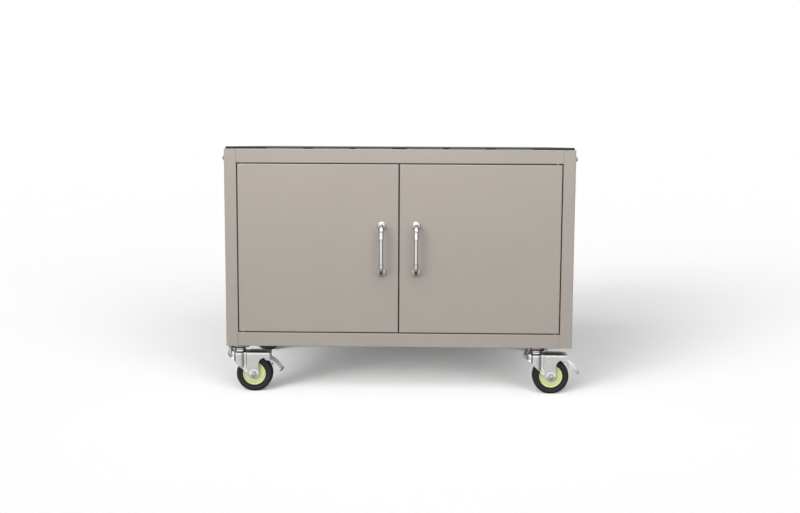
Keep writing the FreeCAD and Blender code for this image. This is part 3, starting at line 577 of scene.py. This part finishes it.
def lipShape():  # the shield that stands out from the fork's nose and leans in over the bowl. Its ends slant
    out, sheet, steps = lip["radius"], lip["sheet"], lip["steps"]
    leant = out - lip["lean"]
    points, count = [], 0
    for i in range(steps + 1):
        share = -1 + 2 * i / steps
        wide = math.radians(lip["wideAngle"] + (lip["wideZ"] - lip["foot"]) * lip["footSpread"])
        foot = max(lip["foot"], forkLow(-out * math.cos(share * wide)))
        section = [(out - sheet, foot), (out, foot), (out, max(foot + 0.6, lip["shoulder"])),
                   (out - 0.5, lip["shoulder"] + 1.6), (leant, lip["top"]), (leant - sheet, lip["top"]),
                   (out - sheet - 0.5, lip["shoulder"] + 1.2)]
        count = len(section)
        for radius, z in section:
            slope = lip["footSpread"] if z < lip["wideZ"] else lip["topDraw"]
            sweep = lip["wideAngle"] + (lip["wideZ"] - z) * slope
            turn = math.pi + share * math.radians(sweep)
            points.append((radius * math.cos(turn), radius * math.sin(turn), z))
    faces = stitch(steps + 1, count) + capEnds(steps + 1, count)
    inside, outside = fork["noseRadius"] - 1.5, out - 0.9
    flange = [(inside, lip["flangeLow"]), (outside, lip["flangeLow"] + 0.8), (outside, lip["flangeHigh"]),
              (inside, lip["flangeHigh"] - 0.8), (inside, lip["flangeLow"])]
    wide = lip["flangeAngle"]
    return join((points, faces), lathe(flange, steps, start=180 - wide, sweep=2 * wide))


wheel = {"rimRadius": 31.8, "rimHighlightFrom": 29.0, "rimHalf": 15.4, "faceHalf": 13.0, "grooveRadius": 28.6,
         "grooveDepth": 1.3, "hubRadius": 11.0, "hubHalf": 19.7, "bore": 5.1, "tyreHalf": 17.0,
         "shoulder": 6.0, "steps": 96, "tyreSteps": 112}


def wheelBody(near, steps):  # the same on both sides, about the axle
    far = [(r, -h) for r, h in reversed(near)]
    centre = (caster["trail"], 0.0, caster["wheelRadius"])
    return lathe([(r, -h) for r, h in near + far + near[:1]], steps, "y", centre)


def wheelShape():
    groove, face, rim = wheel["grooveRadius"], wheel["faceHalf"], wheel["rimHalf"]
    near = [(wheel["bore"], wheel["hubHalf"]), (wheel["hubRadius"], wheel["hubHalf"])]
    near += [(wheel["hubRadius"] + 0.6, face + 0.9)]
    near += bend((wheel["hubRadius"] + 1.5, face + 0.9), (-0.9, -0.9), 0, 90, 3)
    near += [(groove - 0.9, face - 0.1), (groove - 0.5, face - wheel["grooveDepth"])]
    near += [(groove + 0.3, face - wheel["grooveDepth"]), (groove + 0.6, rim - 1.2)]
    near += bend((groove + 1.8, rim - 1.2), (-1.2, 1.2), 0, 90, 4)
    near += bend((wheel["rimRadius"] - 0.9, rim - 0.9), (0.9, 0.9), 90, 0, 3)
    return wheelBody(near, wheel["steps"])


def tyreShape():
    half, corner, out = wheel["tyreHalf"], wheel["shoulder"], caster["treadRadius"]
    near = [(wheel["rimRadius"] - 0.4, wheel["rimHalf"] - 1.0), (wheel["rimRadius"] + 0.2, half - 0.9)]
    near += bend((wheel["rimRadius"] + 1.2, half - 0.9), (-1.0, 0.9), 0, 90, 3)
    near += [(36.0, half), (36.4, half - 0.3), (37.2, half - 0.3), (37.6, half)]  # a mould line on the side
    near += bend((out - corner, half - corner), (corner, corner), 90, 0, 10)
    near += [(out, 0.5), (out - 0.35, 0.2)]  # the mould's parting line round the tread
    return wheelBody(near, wheel["tyreSteps"])


bolt = {"flats": 12.0, "head": 4.6, "chamfer": 0.8, "washer": 8.2, "washerSheet": 1.0, "end": 3.2,
        "shank": 4.9, "shankHalf": 22.0}


def boltShape():
    corner = bolt["flats"] / math.sqrt(3)
    face = fork["half"] + fork["bossHeight"] - 0.1
    low = face + bolt["washerSheet"]
    high = low + bolt["head"]
    stub = bolt["end"]
    washer = [(stub, face), (bolt["washer"], face), (bolt["washer"], low), (stub, low)]
    nut = [(corner, low), (corner, high - bolt["chamfer"]), (corner - 1.3, high), (stub + 0.8, high),
           (stub + 0.3, high - 0.5), (stub, high - 0.5)]
    end = [(stub, high - 1.0), (stub, high + 0.7)] + bend((stub - 0.8, high + 0.7), (0.8, 0.7), 0, 90, 3)
    end += [(0.0, high + 1.4)]
    centre = (caster["trail"], 0.0, caster["wheelRadius"])
    shapes = []
    for side in (-1, 1):
        for outline, steps, start in ((washer, 40, 0.0), (nut, 6, 30.0), (end, 24, 0.0)):
            shapes.append(lathe([(r, side * h) for r, h in outline], steps, "y", centre, start))
    shank = [(bolt["shank"], -bolt["shankHalf"]), (bolt["shank"], bolt["shankHalf"])]
    return join(*shapes, lathe(shank, 24, "y", centre))


pedal = {"outer": 81.2, "sheet": 2.2, "corner": 2.3, "flange": 4.2, "halfWidth": 23.0, "neckHalf": 19.4,
         "neckReach": 9.3, "neckEase": 2.6, "centreX": 47.18, "centreZ": 22.6, "start": 67.0, "end": 30.0,
         "steps": 44, "barrel": 5.5, "barrelHalf": 20.7, "pin": 3.6, "pinHalf": 24.0, "shoe": 55.7,
         "shoeSheet": 2.4, "shoeHalf": 15.0, "shoeStart": 25.0, "shoeEnd": 51.0, "shoeSteps": 16,
         "tipTurn": 2.86, "tipWrap": 0.9, "tipDraw": 7.0, "tipSteps": 8}


def sweepArc(section, centreX, centreZ, start, end, steps):
    # section gives the closed outline at an angle as a list of (across, radius)
    points, outline = [], []
    for i in range(steps + 1):
        turn = start + (end - start) * i / steps
        outline = section(turn)
        points += [(centreX + r * math.cos(math.radians(turn)), y, centreZ + r * math.sin(math.radians(turn)))
                   for y, r in outline]
    return points, stitch(steps + 1, len(outline)) + capEnds(steps + 1, len(outline))


def pedalSection(turn):  # a flat plate with both edges turned down, narrow between the fork's ears
    x = pedal["centreX"] + pedal["outer"] * math.cos(math.radians(turn)) - fork["pivotX"]
    z = pedal["centreZ"] + pedal["outer"] * math.sin(math.radians(turn)) - fork["pivotZ"]
    widening = smooth(pedal["neckReach"], pedal["neckReach"] + pedal["neckEase"], math.hypot(x, z))
    half = pedal["neckHalf"] + (pedal["halfWidth"] - pedal["neckHalf"]) * widening
    out, sheet, corner = pedal["outer"], pedal["sheet"], pedal["corner"]
    low, bendAt = out - pedal["flange"], (corner - half, out - corner)
    near = [(-half, low)] + bend(bendAt, (-corner, corner), 0, 90, 5)
    inner = [(-half + sheet, low)] + bend(bendAt, (sheet - corner, corner - sheet), 0, 90, 2)
    return near + [(-y, r) for y, r in reversed(near)] + [(-y, r) for y, r in inner] + list(reversed(inner))


def pedalShape():
    pivot = (fork["pivotX"], 0.0, fork["pivotZ"])
    reach, radius = pedal["barrelHalf"], pedal["barrel"]
    barrel = lathe([(0.0, -reach), (radius, -reach), (radius, reach), (0.0, reach)], 32, "y", pivot)
    half = [(pedal["pin"], 0.0)] + bend((pedal["pin"] - 1.0, pedal["pinHalf"] - 0.8), (1.0, 0.8), 0, 90, 4)
    half += [(0.0, pedal["pinHalf"])]
    pin = lathe([(r, -h) for r, h in reversed(half)] + half, 24, "y", pivot)
    wide, low, high = pedal["shoeHalf"], pedal["shoe"], pedal["shoe"] + pedal["shoeSheet"]
    shoe = sweepArc(lambda turn: [(-wide, low), (wide, low), (wide, high), (-wide, high)],
                    caster["trail"], caster["wheelRadius"], pedal["shoeStart"], pedal["shoeEnd"],
                    pedal["shoeSteps"])
    plate = sweepArc(pedalSection, pedal["centreX"], pedal["centreZ"], pedal["end"], pedal["start"],
                     pedal["steps"])
    return join(plate, barrel, pin, shoe)


def tipSection(turn):  # the cap's corners are rounded off towards its end
    share = (pedal["end"] - turn) / pedal["tipTurn"]
    half = pedal["halfWidth"] - pedal["tipDraw"] * (1 - math.sqrt(max(0.0, 1 - share * share)))
    wrap = pedal["tipWrap"] * (1 - 0.6 * share ** 4)
    out = pedal["outer"] + wrap
    low = pedal["outer"] - pedal["flange"] - wrap
    return [(-half, low + 0.8), (-half, out - 2.0), (-half + 0.6, out - 0.6), (-half + 2.0, out),
            (half - 2.0, out), (half - 0.6, out - 0.6), (half, out - 2.0), (half, low + 0.8),
            (half - 0.8, low), (-half + 0.8, low)]


def tipShape():
    return sweepArc(tipSection, pedal["centreX"], pedal["centreZ"], pedal["end"],
                    pedal["end"] - pedal["tipTurn"], pedal["tipSteps"])


casterParts = {"fork": forkShape(), "head": headShape(), "lip": lipShape(), "wheel": wheelShape(),
               "tyre": tyreShape(), "bolt": boltShape(), "pedal": pedalShape(), "tip": tipShape()}
swivels = []
for name in ("front_left", "front_right", "rear_left", "rear_right"):
    lowest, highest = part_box("tyre_" + name)
    hubX, y, hubZ = [(a + b) * 500 for a, b in zip(lowest, highest)]
    way = -1 if name == "rear_left" else 1  # only that one trails to the left
    x = hubX - way * caster["trail"]
    swivels.append((x, y))
    placed = {part: places(shape, x, y, way) for part, shape in casterParts.items()}
    swivel, spinning = "caster_" + name, "wheel_" + name
    sheet = newPiece("fork_" + name, placed["fork"], zincPlate, swivel,
                     ("caster_fork_" + name,), 55.0)
    thick = sheet.modifiers.new("sheet thickness", "SOLIDIFY")
    thick.thickness = fork["sheet"] * mm
    thick.offset = -1.0
    sheet.modifiers.new("hard edges", "EDGE_SPLIT").split_angle = math.radians(40)
    # painted light: the nose behind the lip and the lip's inner side, which lie in a dark recess, get the
    # paler zinc
    dressSome(sheet, zincSatinPaintedLight, lambda face: (face.center.x * 1000 - x) * way < fork["paintedLightTo"])
    newPiece("swivel_head_" + name, placed["head"], zincPlate, swivel)
    shield = newPiece("swivel_lip_" + name, placed["lip"], zincPlate, swivel)
    dressSome(shield, zincSatinPaintedLight, lambda face: face.normal.x * (face.center.x * 1000 - x)
              + face.normal.y * (face.center.y * 1000 - y) < 0)
    newPiece("axle_bolt_" + name, placed["bolt"], zincHardware, swivel,
             ("axle_" + name,))
    centre = newPiece("wheel_centre_" + name, placed["wheel"], limePlastic, spinning,
                      ("wheel_core_" + name,))
    # the painted highlight ring begins inside the groove
    dressSome(centre, limeRimPaintedHighlight, lambda face: math.hypot(face.center.x * 1000 - hubX,
                                                       face.center.z * 1000 - hubZ) > wheel["rimHighlightFrom"])
    newPiece("tyre_ring_" + name, placed["tyre"], tyreRubber, spinning, ("tyre_" + name,))
    if name.startswith("front"):
        lever = newPiece("foot_pedal_" + name, placed["pedal"], zincPlate, "brake_" + name,
                         ("brake_pedal_" + name,))
        # painted light: the tread, which mirrors the dark underside of the cart, gets the paler zinc; it is
        # duller than the drawn edges
        dressSome(lever, zincSatinPaintedLight, lambda face: abs(face.normal.y) < 0.3 and face.normal.z > 0.0)
        newPiece("foot_pedal_end_" + name, placed["tip"], padRubber, "brake_" + name,
                 ("pedal_tip_" + name,))


bowl = {"radius": 27.5, "low": 122.3, "high": 132.2, "corner": 7.5, "plateHalfX": 29.0, "plateHalfY": 31.0,
        "plateHigh": 136.0, "plateCorner": 5.0, "edge": 0.5}


def plateShape(x, y):  # the pressed bowl, and the square plate with rounded corners above it
    corner, radius = bowl["corner"], bowl["plateCorner"]
    profile = bend((bowl["radius"] - corner, bowl["low"] + corner), (corner, corner), -90, 0, 10)
    profile = [(7.0, bowl["low"])] + profile + [(bowl["radius"], bowl["high"])]
    levels = [(bowl["edge"], bowl["high"] - 0.2), (0.0, bowl["high"] + 0.3), (0.0, bowl["plateHigh"] - 0.01)]
    points = []
    for inset, z in levels:
        for wayX, wayY, start in ((1, 1, 0), (-1, 1, 90), (-1, -1, 180), (1, -1, 270)):
            for i in range(6):
                a = math.radians(start + 18 * i)
                points.append((x + wayX * (bowl["plateHalfX"] - radius) + (radius - inset) * math.cos(a),
                               y + wayY * (bowl["plateHalfY"] - radius) + (radius - inset) * math.sin(a), z))
    count = len(points) // len(levels)
    faces = stitch(len(levels), count) + capEnds(len(levels), count)
    return join(lathe(profile, 64, centre=(x, y, 0.0)), (points, faces))


# painted shade: the bowls under the cart get the darker zinc, as they sit in its shadow
newPiece("swivel_bowls", join(*[plateShape(x, y) for x, y in swivels]), zincPaintedShade, "cabinet",
         ("caster_plates",))
print("casters done")


# a near-black strip in the gap under the top plate, between and behind the pads: painted shade where the gap
# lies in shadow
gapShade = {"setback": 3.0, "side": 0.3, "width": 8.0, "ease": 0.05}


def gapShadeShape():
    lowest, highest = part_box("top_plate")
    under = lowest[2] * 1000 - gapShade["ease"]
    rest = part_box("rail_front_top")[1][2] * 1000 + gapShade["ease"]
    points, faces = [], []
    for inset in (0.0, gapShade["width"]):
        x0, y0 = lowest[0] * 1000 + gapShade["side"] + inset, lowest[1] * 1000 + gapShade["setback"] + inset
        x1, y1 = highest[0] * 1000 - gapShade["side"] - inset, highest[1] * 1000 - gapShade["setback"] - inset
        for z in (rest, under):
            points += [(x0, y0, z), (x1, y0, z), (x1, y1, z), (x0, y1, z)]
    for i in range(4):
        j = (i + 1) % 4
        faces += [(i, j, 4 + j, 4 + i), (8 + i, 8 + j, 12 + j, 12 + i), (4 + i, 4 + j, 12 + j, 12 + i),
                  (i, j, 8 + j, 8 + i)]
    return points, faces


# painted shade: the near-black strip in the gap under the top plate
newPiece("plate_seal", gapShadeShape(), gapShadeStrip, "cabinet")
print("top gap shade done")


# the studio, in metres: a white floor, soft suns, and a sky whose bright and dark sides only the gloss sees
studio = {"floorHalf": 60.0, "floorDark": "FBFBFB", "floorLight": "FDFDFD", "wearMm": 666.7, "backdrop": 1.02,
          "soft": 0.20,  # what every ray but the camera's and the gloss's gets from the sky
          # a ramp runs from 0 to 1 along an axis of the sky
          "ramps": {"front": ("Y", -0.05, -0.30), "ahead": ("Y", -0.35, -0.60), "behind": ("Y", 0.30, 0.60),
                    "sideways": ("Y", 0.0, 0.15), "left": ("X", -0.45, -0.75), "right": ("X", 0.35, 0.85),
                    "notFloor": ("Z", -0.90, -0.35), "foot": ("Z", -0.15, -0.60),
                    "above": ("Z", -0.19, -0.14), "notHigh": ("Z", 0.20, 0.02),
                    "level": ("Z", -0.4, 0.1), "high": ("Z", 0.15, 0.60)},
          # and a bank of light is a strength times its ramps
          "banks": [(0.66, ("front", "notFloor")),  # what the cheeks of the forks mirror
                    (1.20, ("above", "ahead", "notHigh")),  # the bright band that whitens the handles
                    (0.30, ("left", "front", "notFloor")), (-0.30, ("right", "front", "notFloor")),
                    (0.30, ("foot", "front")), (0.18, ("level",)),
                    (0.90, ("right", "high")), (0.90, ("high",)),  # the domes and the elbows' bends
                    (0.45, ("behind", "level")), (0.90, ("left", "sideways", "level"))],
          # strength, spread, rise, turn to the right of the front, and whether it lights the floor as well
          "suns": {"low left": (3.3, 30.0, 10.0, -32.0, True), "low right": (1.0, 30.0, 12.0, 26.0, True),
                   "high left": (2.02, 50.0, 30.0, -34.0, True), "high right": (1.48, 50.0, 30.0, 28.0, True),
                   "rear left": (3.6, 50.0, 30.0, -145.0, False),
                   "rear right": (3.6, 50.0, 30.0, 145.0, False)},
          # a softbox over the front, and a panel that lifts the shade under the cart
          "boxPower": 30.0, "boxSize": (1.6, 0.4), "boxPlace": (-0.2, -0.95, 1.55),
          "boxAim": (0.0, -0.3, 0.6),
          "underPower": 0.22, "underSize": (0.94, 0.56), "underPlace": (0.0, 0.02, 0.130)}


def makeFloor():
    size = studio["floorHalf"]
    mesh = bpy.data.meshes.new("floor")
    corners = [(-size, -size, 0), (size, -size, 0), (size, size, 0), (-size, size, 0)]
    mesh.from_pydata(corners, [], [(0, 1, 2, 3)])
    floor = bpy.data.objects.new("floor", mesh)
    bpy.context.scene.collection.objects.link(floor)
    material, tree = startMaterial("white studio floor, painted matt")
    place = addNode(tree, "ShaderNodeTexCoord")
    wear = addNode(tree, "ShaderNodeTexNoise", inputs={"Scale": perMm(studio["wearMm"]), "Detail": 2.0},
                   links={"Vector": (place, "Object")})
    tint = addNode(tree, "ShaderNodeMix", {"data_type": "RGBA"}, links={0: (wear, "Fac")},
                   inputs={6: toLinear(studio["floorDark"]), 7: toLinear(studio["floorLight"])})
    shader = addNode(tree, "ShaderNodeBsdfPrincipled", inputs={"Roughness": 0.9, "Specular IOR Level": 0.1},
                     links={"Base Color": (tint, 2)})
    addNode(tree, "ShaderNodeOutputMaterial", links={"Surface": (shader, "BSDF")})
    mesh.materials.append(material)
    floor.visible_glossy = False  # what the gloss sees down there is the sky's own foot


def makeLights():
    world = bpy.data.worlds.new("white studio")
    bpy.context.scene.world = world
    world.use_nodes = True
    tree = world.node_tree
    tree.nodes.clear()
    direction = addNode(tree, "ShaderNodeTexCoord")
    axes = addNode(tree, "ShaderNodeSeparateXYZ", links={"Vector": (direction, "Generated")})
    ramps = {}
    for name, (axis, start, end) in studio["ramps"].items():
        ramps[name] = addNode(tree, "ShaderNodeMapRange", {"interpolation_type": "SMOOTHSTEP"},
                              inputs={"From Min": start, "From Max": end}, links={"Value": (axes, axis)})
    # each bank of light adds to the level, which starts at nothing
    level = addNode(tree, "ShaderNodeMath", {"operation": "ADD"}, inputs={0: 0.0, 1: 0.0})
    for strength, names in studio["banks"]:
        bank = ramps[names[0]]
        for name in names[1:]:
            bank = addNode(tree, "ShaderNodeMath", {"operation": "MULTIPLY"},
                           links={0: (bank, 0), 1: (ramps[name], 0)})
        level = addNode(tree, "ShaderNodeMath", {"operation": "MULTIPLY_ADD"}, inputs={1: strength},
                        links={0: (bank, 0), 2: (level, 0)})
    white = (1, 1, 1, 1)
    mirrored = addNode(tree, "ShaderNodeBackground", inputs={"Color": white},
                       links={"Strength": (level, "Value")})
    soft = addNode(tree, "ShaderNodeBackground", inputs={"Color": white, "Strength": studio["soft"]})
    plain = addNode(tree, "ShaderNodeBackground", inputs={"Color": white, "Strength": studio["backdrop"]})
    path = addNode(tree, "ShaderNodeLightPath")
    unseen = addNode(tree, "ShaderNodeMixShader", links={0: (path, "Is Glossy Ray"), 1: (soft, "Background"),
                                                         2: (mirrored, "Background")})
    both = addNode(tree, "ShaderNodeMixShader", links={0: (path, "Is Camera Ray"), 1: (unseen, "Shader"),
                                                       2: (plain, "Background")})
    addNode(tree, "ShaderNodeOutputWorld", links={"Surface": (both, "Shader")})

    cart = bpy.data.collections.new("the cart, for the lights that leave the floor alone")
    for piece in bpy.data.objects:
        if piece.type == "MESH" and piece.name != "floor":
            cart.objects.link(piece)

    for name, (power, spread, rise, turn, onFloor) in studio["suns"].items():
        light = bpy.data.lights.new(name, "SUN")
        light.energy = power
        light.angle = math.radians(spread)
        sun = bpy.data.objects.new(name, light)
        turn, rise = math.radians(turn), math.radians(rise)
        toSun = Vector((math.sin(turn) * math.cos(rise), -math.cos(turn) * math.cos(rise), math.sin(rise)))
        sun.rotation_euler = (-toSun).to_track_quat("-Z", "Y").to_euler()
        sun.visible_glossy = False  # it only lights and shades
        bpy.context.scene.collection.objects.link(sun)
        if not onFloor:
            sun.light_linking.receiver_collection = cart

    for name in ("box", "under"):
        light = bpy.data.lights.new(name, "AREA")
        light.shape = "RECTANGLE"
        light.size, light.size_y = studio[name + "Size"]
        light.energy = studio[name + "Power"]
        panel = bpy.data.objects.new(name, light)
        panel.location = studio[name + "Place"]
        panel.visible_camera = False
        if name == "box":
            aim = Vector(studio["boxAim"]) - panel.location
            panel.rotation_euler = aim.to_track_quat("-Z", "Y").to_euler()
            panel.light_linking.receiver_collection = cart
        bpy.context.scene.collection.objects.link(panel)


view = {"place": (0.0610, -3.0180, 0.6916), "lensMm": 45.0, "sensorMm": 36.0, "farthest": 200.0,
        "tiltDegrees": 83.582, "turnDegrees": 1.227, "rollDegrees": 0.266}


def makeCamera():
    lens = bpy.data.cameras.new("camera")
    lens.lens = view["lensMm"]
    lens.sensor_width = view["sensorMm"]
    lens.clip_end = view["farthest"]
    camera = bpy.data.objects.new("camera", lens)
    turn = Matrix.Rotation(math.radians(view["turnDegrees"]), 4, "Z")
    tilt = Matrix.Rotation(math.radians(view["tiltDegrees"]), 4, "X")
    roll = Matrix.Rotation(math.radians(view["rollDegrees"]), 4, "Z")
    camera.matrix_world = Matrix.Translation(view["place"]) @ turn @ tilt @ roll
    bpy.context.scene.collection.objects.link(camera)
    bpy.context.scene.camera = camera


makeFloor()
makeLights()
makeCamera()
bpy.context.scene.view_settings.view_transform = "Standard"
print("studio done")
